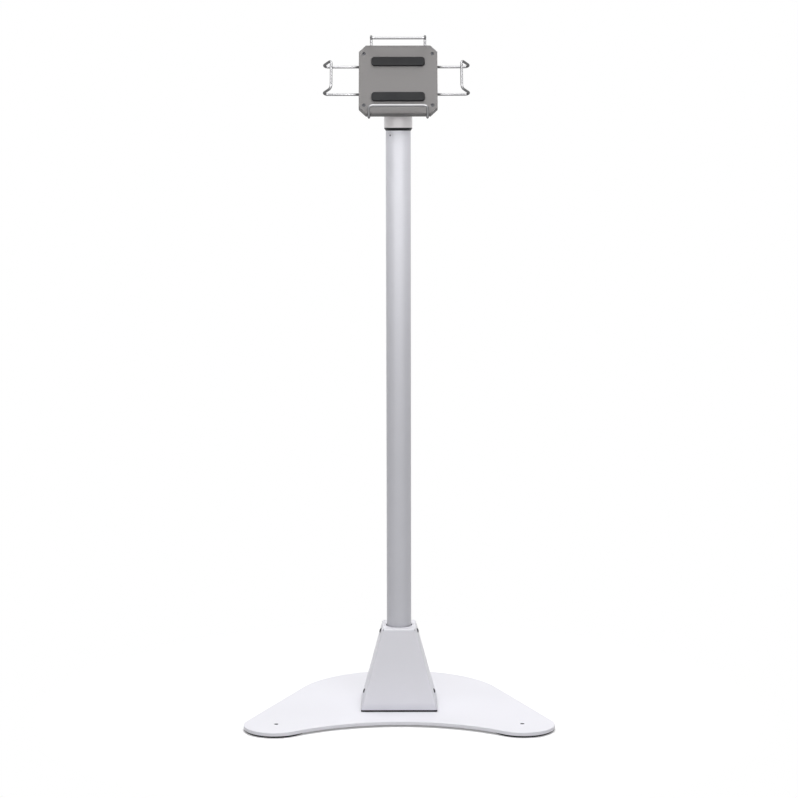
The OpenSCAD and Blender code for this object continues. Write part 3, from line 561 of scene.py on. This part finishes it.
def build_plate():
    """The steel plate: rounded walls round its outline, the two floor holes and the four tapped holes, and
    flat faces filled in between the loops."""
    edge_round, floor_hole_round, flange_hole_round, hole_sides = 1.1, 0.5, 0.2, 40
    hole_angle = full_turn(hole_sides)
    circle = np.stack([np.cos(hole_angle), np.sin(hole_angle)], -1)
    loops = [(*plate_outline(), edge_round)]
    for x in (-TIP_X, TIP_X):
        loops.append((circle * FLOOR_HOLE_R + [x, TIP_Y + POLE_Y], -circle, floor_hole_round))
    for x in (-FLANGE_HOLE_AT, FLANGE_HOLE_AT):
        for y in (-FLANGE_HOLE_AT, FLANGE_HOLE_AT):
            loops.append((circle * FLANGE_HOLE_R + [x, y + POLE_Y], -circle, flange_hole_round))
    points, faces, rims, first = [], [], [[], []], 0
    for outline, normals, round_r in loops:
        ring, quads, bottom, top = edge_walls(outline, normals, PLATE_LOW, PLATE_TOP, round_r, first)
        points.append(ring)
        faces.append(quads)
        rims[0].append(bottom)
        rims[1].append(top)
        first += len(ring)
    mesh = bpy.data.meshes.new("plate_finished")
    mesh.from_pydata((np.concatenate(points) * MM).tolist(), [], np.concatenate(faces).tolist())
    shell = bmesh.new()
    shell.from_mesh(mesh)
    shell.verts.ensure_lookup_table()
    for rim in rims:
        ends = np.concatenate([np.stack([loop, np.roll(loop, -1)], -1) for loop in rim])
        edges = [shell.edges.get((shell.verts[a], shell.verts[b])) for a, b in ends]
        bmesh.ops.triangle_fill(shell, use_beauty=True, use_dissolve=False, edges=edges)
    bmesh.ops.recalc_face_normals(shell, faces=shell.faces)
    shell.to_mesh(mesh)
    shell.free()
    piece = seat_piece("plate_finished", mesh, "base", "white_paint", ["base_plate"], sharp=60)
    weighted = piece.modifiers.new("flat_faces", "WEIGHTED_NORMAL")
    weighted.keep_sharp = True


# Shroud

# Points along a cover's straight runs, and steps round its corners
RUN_POINTS, CORNER_STEPS = 9, 12


def cover_loop(half, corner_r, seam, front):
    """Half of a rounded rectangle of these half sizes, from the seam's left end round the front, or round
    the back, to its right end: a straight run, a quarter arc, the long side, a quarter arc and a straight
    run."""
    w, d = half
    s = -1 if front else 1
    line = np.linspace(0, 1, RUN_POINTS)[:, None]
    corner = np.radians(np.linspace(0, 90, CORNER_STEPS + 1))
    left_x, far_y = -w + corner_r, s * (d - corner_r)
    left = np.stack([left_x - corner_r * np.cos(corner), far_y + s * corner_r * np.sin(corner)], -1)
    start = np.array([[-w, seam]]) + line[:-1] * (left[:1] - np.array([[-w, seam]]))
    right = left[::-1] * [-1, 1]
    across = left[-1:] + line[1:-1] * (right[:1] - left[-1:])
    return np.concatenate([start, left, across, right, start[::-1] * [-1, 1]])


def build_cover(name, front, node):
    """One folded sheet cover: half loops of the tapering shroud stacked up its height, drawn in round the top
    fold, and then carried flat to the arc round the pole. A small relief is left open where three folds meet
    in front. Two rows close under the fold keep its shading off the flat side."""
    side_rows, fold_rows, flat_steps = 12, 10, 5
    far_under, near_under, corner_shrink = 1.0, 0.4, 0.6
    seam = SEAM_Y + (-SEAM_HALF_GAP if front else SEAM_HALF_GAP)
    angle = np.radians(np.linspace(0, 90, fold_rows))
    side_top = SHROUD_H - FOLD_R
    straight = np.append(np.linspace(0, side_top - far_under, side_rows), side_top - near_under)
    heights = np.concatenate([straight, side_top + FOLD_R * np.sin(angle)])
    insets = np.concatenate([np.zeros(len(straight)), FOLD_R * (1 - np.cos(angle))])
    share = heights[:, None] / SHROUD_H
    half = (SHROUD_FOOT + (SHROUD_HEAD - SHROUD_FOOT) * share) / 2 - insets[:, None]
    rows = np.stack(
        [cover_loop(h, SHROUD_CORNER_R - corner_shrink * i, seam, front) for h, i in zip(half, insets)]
    )
    columns = rows.shape[1]
    points = np.concatenate([rows, np.broadcast_to(heights[:, None, None], (*rows.shape[:2], 1))], -1)
    end = math.asin(abs(seam) / POLE_HOLE_R)
    last = 2 * math.pi - end if front else -end
    turn = np.linspace(math.pi + end, last, columns)
    rim = np.stack(
        [POLE_HOLE_R * np.cos(turn), POLE_HOLE_R * np.sin(turn), np.full(columns, SHROUD_H)], -1
    )
    step = np.linspace(0, 1, flat_steps + 1)[1:, None, None]
    points = np.concatenate([points, points[-1:] + step * (rim - points[-1:])])
    faces = grid_faces(*points.shape[:2], False)
    if front:
        row, column = np.divmod(np.arange(len(faces)), columns - 1)
        in_fold = (row >= len(straight)) & (row < len(heights) - 1)
        past_run = np.minimum(column, columns - 2 - column) - (RUN_POINTS - 1)
        in_corner = (past_run >= 1) & (past_run < CORNER_STEPS - 1)
        faces = faces[~(in_fold & in_corner)]
    points = points + [0, POLE_Y, SHROUD_Z]
    outward = faces if front else faces[:, ::-1]
    piece = make_piece(name, points, outward, "base", "white_sheet", [node], sharp=50, closed=False)
    wall = piece.modifiers.new("sheet", "SOLIDIFY")
    wall.thickness = SHROUD_WALL * MM
    wall.offset = -1
    wall.use_even_offset = True


def build_shroud_screws():
    """Button heads with a hexagon socket on the shroud's sides, each turned about the side's own normal."""
    shank_r, shank_len, under_r = 2.0, 6.3, 3.7
    head_r, rim_h, dome_h, dome_end = 3.8, 0.35, 1.85, 62
    lean = math.atan((SHROUD_FOOT[0] - SHROUD_HEAD[0]) / 2 / SHROUD_H)
    places = []
    for side in (-1, 1):
        for up in SHROUD_SCREW_HEIGHTS:
            half = (SHROUD_FOOT[0] + (SHROUD_HEAD[0] - SHROUD_FOOT[0]) * up / SHROUD_H) / 2
            place = (side * half, POLE_Y, SHROUD_Z + up)
            places.append((place, (side * math.cos(lean), 0, math.sin(lean))))
    dome_angle = np.radians(np.linspace(0, dome_end, 8))
    profile = np.concatenate(
        [
            [(0, -shank_len), (shank_r, -shank_len), (shank_r, 0), (under_r, 0)],
            np.stack([head_r * np.cos(dome_angle), rim_h + dome_h * np.sin(dome_angle)], -1),
            [(1.45, 2.1), (1.3, 1.95), (1.3, 0.8), (0, 0.6)],
        ]
    )
    socket_rows = (len(profile) - 3, len(profile) - 2)
    points, faces = turned(profile, places, sides=48, hexed=socket_rows)
    make_piece("shroud_button_heads", points, faces, "base", "dark_screw", ["shroud_screws"])


# Arms

def wire_path(gap, reach, leg_y, leg_len):
    """Middle line of an arm in its own frame, from one leg's foot to the other's: up the leg, round the hook
    by the lean past a right angle, along the lip, round its corner, across the run, and the mirror image
    back."""
    hook_count, corner_count, run_count, leg_end = 25, 19, 9, 0.5
    hook_z = reach - HOOK_R
    half = gap / 2
    leg = np.stack([np.full(2, half), np.full(2, leg_y), [hook_z - leg_len, hook_z - leg_end]], -1)
    bend = np.linspace(0, math.pi / 2 + LIP_LEAN, hook_count)
    ahead, above = leg_y - HOOK_R + HOOK_R * np.cos(bend), hook_z + HOOK_R * np.sin(bend)
    hook = np.stack([np.full(hook_count, half), ahead, above], -1)
    along = np.array([0, -math.cos(LIP_LEAN), -math.sin(LIP_LEAN)])
    lip_len = (LIP_AHEAD - HOOK_R * (1 + math.sin(LIP_LEAN))) / math.cos(LIP_LEAN)
    turn = np.linspace(0, math.pi / 2, corner_count)
    corner = (
        hook[-1]
        + (lip_len - LIP_R + LIP_R * np.sin(turn))[:, None] * along
        - (LIP_R * (1 - np.cos(turn)))[:, None] * np.array([1.0, 0, 0])
    )
    side = np.concatenate([leg, hook, corner])
    middle = np.linspace(corner[-1], corner[-1] * [-1, 1, 1], run_count)[1:-1]
    return np.concatenate([side, middle, side[::-1] * [-1, 1, 1]])


def tube(path, radius):
    """A round wire along a path: the path's point plus the radius times cosine and sine of the angle across
    two directions square to its tangent, taken from one fixed vector that no tangent comes near. Each end is
    closed by a low dome, in two rows past it."""
    sides, dome_h = 28, 0.25
    tangent = np.gradient(path, axis=0)
    tangent /= np.linalg.norm(tangent, axis=1, keepdims=True)
    fixed = np.array([0, 0.5, 0.866])
    first = fixed - (tangent @ fixed)[:, None] * tangent
    first /= np.linalg.norm(first, axis=1, keepdims=True)
    second = np.cross(tangent, first)
    angle = full_turn(sides)
    ring = np.cos(angle)[None, :, None] * first[:, None] + np.sin(angle)[None, :, None] * second[:, None]
    body = path[:, None] + radius * ring
    caps = [
        (path[i][None] + s * dome_h * radius * h * tangent[i])[:, None] + w * radius * ring[i][None]
        for i, s, h, w in ((0, -1, 1.0, 0.0), (0, -1, 0.8, 0.7), (-1, 1, 0.8, 0.7), (-1, 1, 1.0, 0.0))
    ]
    points = np.concatenate(caps[:2] + [body] + caps[2:])
    return points, grid_faces(len(points), sides, True)


def build_arm(name, turn, gap, reach, leg_y, leg_len):
    """One bent wire arm, turned about the holder's axis to its side of the housing."""
    points, faces = tube(wire_path(gap, reach, leg_y, leg_len), WIRE_R)
    x, z = points[..., 0], points[..., 2]
    cos, sin = math.cos(math.radians(turn)), math.sin(math.radians(turn))
    lift = SIDE_ARM_UP * abs(round(sin))
    swung = np.stack([cos * x + sin * z, points[..., 1], cos * z - sin * x + lift], -1)
    body = name.replace("_wire", "")
    make_piece(name + "_bent", tilted(swung), faces, body, "chrome_wire", [name], sharp=60)


# Small pieces of the holder and the head

def build_pads():
    """Two rubber strips: a rounded rectangle carried round a soft edge, each face ringed in towards its
    middle."""
    soft, count = 0.9, 96
    face_insets, middle_share = [2.0, 4.5], 0.96
    angle = full_turn(count) + math.pi / count
    normal = np.stack([np.cos(angle), np.sin(angle)], -1)
    straight = [PAD_HALF_W - PAD_CORNER_R, PAD_HALF_H - PAD_CORNER_R]
    outline = np.sign(normal) * straight + PAD_CORNER_R * normal
    edge = arc((soft, PAD_T - soft), soft, 180, 90, count=7)
    inset = np.concatenate([[0.0], edge[:, 0], face_insets])
    height = np.concatenate([[0.0], edge[:, 1], [PAD_T, PAD_T]])
    ring = outline[None] - inset[:, None, None] * normal[None]
    ring = np.concatenate([ring[:1] * [0.0, 0.0], ring, ring[-1:] * [middle_share, 0.0]])
    height = np.concatenate([[0.0], height, [PAD_T]])
    depth = COVER_FRONT - np.broadcast_to(height[:, None], ring.shape[:2])
    one = grid_faces(len(ring), count, True)
    points, faces = [], []
    for side in (-1, 1):
        local = np.stack([ring[..., 0], depth, ring[..., 1] + PAD_Z * side], -1)
        faces.append(one + len(points) * depth.size)
        points.append(tilted(local).reshape(-1, 3))
    make_piece(
        "rest_pads_moulded", np.concatenate(points), np.concatenate(faces), "holder", "black_rubber",
        ["rest_pads"], sharp=50,
    )


def build_cover_screws():
    """Countersunk screws flush in the front cover, each with a hexagon socket, turned about the cover's
    normal."""
    axis = tilted([[0, -1, 0]])[0] - tilted([[0, 0, 0]])[0]
    corners = [(x, z) for x in (-COVER_SCREW_X, COVER_SCREW_X) for z in (-COVER_SCREW_Z, COVER_SCREW_Z)]
    heads = tilted([[x, COVER_FRONT, z] for x, z in corners])
    profile = [
        (0, -13.8), (1.5, -13.8), (1.5, -1.5), (2.85, -0.18), (2.9, -0.1), (2.8, 0),
        (1.15, 0), (1.05, -0.1), (1.05, -0.9), (0, -1.0),
    ]
    socket_rows = (7, 8)
    points, faces = turned(profile, [(head, axis) for head in heads], sides=48, hexed=socket_rows)
    make_piece("cover_screws_socketed", points, faces, "holder", "dark_screw", ["cover_screws"])


def build_collar():
    """The collar and its spigot turned about the pole's axis, with rounded upper and lower edges."""
    low_round, top_round = 0.6, 1.6
    profile = np.concatenate(
        [
            [(COLLAR_BORE_R, SPIGOT_LOW), (SPIGOT_R, SPIGOT_LOW), (SPIGOT_R, COLLAR_LOW)],
            arc((COLLAR_R - low_round, COLLAR_LOW + low_round), low_round, 270, 360),
            arc((COLLAR_R - top_round, COLLAR_TOP - top_round), top_round, 0, 90, count=8),
            [(COLLAR_BORE_R, COLLAR_TOP), (COLLAR_BORE_R, SPIGOT_LOW)],
        ]
    )
    points, faces = turned(profile, [((0, POLE_Y, 0), (0, 0, 1))], sides=128)
    make_piece("head_collar_turned", points, faces, "head", "silver_collar", ["head_collar"])


def build_friction_washers():
    """Flat nylon rings either side of the tilt post, turned about the tilt axis, a hair clear of the post's
    faces."""
    clear, chamfer = 0.03, 0.15
    near, far = POST_HALF_W + clear, POST_HALF_W + WASHER_T
    profile = [
        (WASHER_BORE_R, near), (WASHER_R - chamfer, near), (WASHER_R, near + chamfer),
        (WASHER_R, far - chamfer), (WASHER_R - chamfer, far), (WASHER_BORE_R, far), (WASHER_BORE_R, near),
    ]
    places = [((0, POLE_Y, PIVOT_Z), (side, 0, 0)) for side in (-1, 1)]
    points, faces = turned(profile, places, sides=96)
    make_piece("friction_washers_turned", points, faces, "tilt_frame", "black_nylon", ["friction_washers"])


build_plate()
build_cover("shroud_front_folded", True, "shroud_front")
build_cover("shroud_rear_folded", False, "shroud_rear")
build_shroud_screws()
for arm_name, arm_sizes in ARMS.items():
    build_arm(arm_name, *arm_sizes)
build_pads()
build_cover_screws()
build_collar()
build_friction_washers()
for rounded_node, rounded_values in ROUNDED.items():
    softened(rounded_node, *rounded_values)


# Floor, light and camera

def seen_directly(tree):
    """One where a ray comes from the camera, a gloss or a glass, and nought for light that falls on the
    object."""
    path = tree.nodes.new("ShaderNodeLightPath")
    total = path.outputs["Is Camera Ray"]
    for label in ("Is Glossy Ray", "Is Transmission Ray"):
        total = combined(tree, "MAXIMUM", total, path.outputs[label])
    return total


def build_floor():
    """A pale floor that takes the object's shadow near it and runs out to plain white around it."""
    half_size, sunk = 6.0, 0.0002
    lit_paleness, seen_paleness, seen_lift = 0.6, 0.96, 0.16
    fade_start, fade_end = 0.30, 0.62
    mesh = bpy.data.meshes.new("floor")
    corner = np.array([[-1, -1], [1, -1], [1, 1], [-1, 1]]) * half_size
    mesh.from_pydata(np.concatenate([corner, np.full((4, 1), -sunk)], 1).tolist(), [], [[0, 1, 2, 3]])
    floor = bpy.data.objects.new("floor", mesh)
    bpy.context.scene.collection.objects.link(floor)
    material = bpy.data.materials.new("pale_floor")
    material.use_nodes = True
    tree = material.node_tree
    tree.nodes.clear()
    seen = seen_directly(tree)
    diffuse = tree.nodes.new("ShaderNodeBsdfDiffuse")
    tree.links.new(ranged(tree, seen, lit_paleness, seen_paleness), diffuse.inputs["Color"])
    lift = tree.nodes.new("ShaderNodeEmission")
    tree.links.new(combined(tree, "MULTIPLY", seen, seen_lift), lift.inputs["Strength"])
    near = tree.nodes.new("ShaderNodeAddShader")
    tree.links.new(diffuse.outputs[0], near.inputs[0])
    tree.links.new(lift.outputs[0], near.inputs[1])
    plain = tree.nodes.new("ShaderNodeEmission")
    place = tree.nodes.new("ShaderNodeTexCoord").outputs["Object"]
    away = vector_step(tree, "LENGTH", place).outputs["Value"]
    fade = ranged(tree, away, 0.0, 1.0, fade_start, fade_end, "SMOOTHSTEP")
    mixed = tree.nodes.new("ShaderNodeMixShader")
    tree.links.new(combined(tree, "MULTIPLY", fade, seen), mixed.inputs[0])
    tree.links.new(near.outputs[0], mixed.inputs[1])
    tree.links.new(plain.outputs[0], mixed.inputs[2])
    out = tree.nodes.new("ShaderNodeOutputMaterial")
    tree.links.new(mixed.outputs[0], out.inputs["Surface"])
    mesh.materials.append(material)


def build_world():
    """White where it is seen or mirrored, and a weak white fill where it lights the object."""
    fill_strength, seen_strength = 0.1, 1.0
    world = bpy.data.worlds.new("studio")
    bpy.context.scene.world = world
    world.use_nodes = True
    tree = world.node_tree
    back = tree.nodes["Background"]
    back.inputs["Color"].default_value = (1, 1, 1, 1)
    strength = ranged(tree, seen_directly(tree), fill_strength, seen_strength)
    tree.links.new(strength, back.inputs["Strength"])


def build_lamp(name, place, target, size, power, spread):
    """A soft box lamp of this width and height that points at a target. A small spread narrows its beam."""
    lamp = bpy.data.lights.new(name, "AREA")
    lamp.shape = "RECTANGLE"
    lamp.size, lamp.size_y = size
    lamp.energy = power
    lamp.spread = math.radians(spread)
    holder = bpy.data.objects.new(name, lamp)
    back = np.array(place, float) - np.array(target, float)
    back /= np.linalg.norm(back)
    right = np.cross([0, 0, 1.0], back)
    right /= np.linalg.norm(right)
    up = np.cross(back, right)
    holder.matrix_world = Matrix(
        [[right[i], up[i], back[i], place[i]] for i in range(3)] + [[0, 0, 0, 1]]
    )
    bpy.context.scene.collection.objects.link(holder)


def build_camera():
    """The photograph's view: from a little below the holder's height, looking a little down, with a long
    lens."""
    place, look_down, roll = (0.0005, -3.5205, 0.949), 7.07, -0.097
    lens = bpy.data.cameras.new("camera")
    lens.sensor_width = 36.0
    lens.lens = 98.07
    lens.clip_end = 50.0
    camera = bpy.data.objects.new("camera", lens)
    camera.matrix_world = (
        Matrix.Translation(place)
        @ Matrix.Rotation(math.radians(90 - look_down), 4, "X")
        @ Matrix.Rotation(math.radians(roll), 4, "Z")
    )
    bpy.context.scene.collection.objects.link(camera)
    bpy.context.scene.camera = camera


build_floor()
build_world()
for lamp_name, lamp_values in LAMPS.items():
    build_lamp(lamp_name, *lamp_values)
build_camera()
bpy.context.scene.view_settings.view_transform = "Standard"
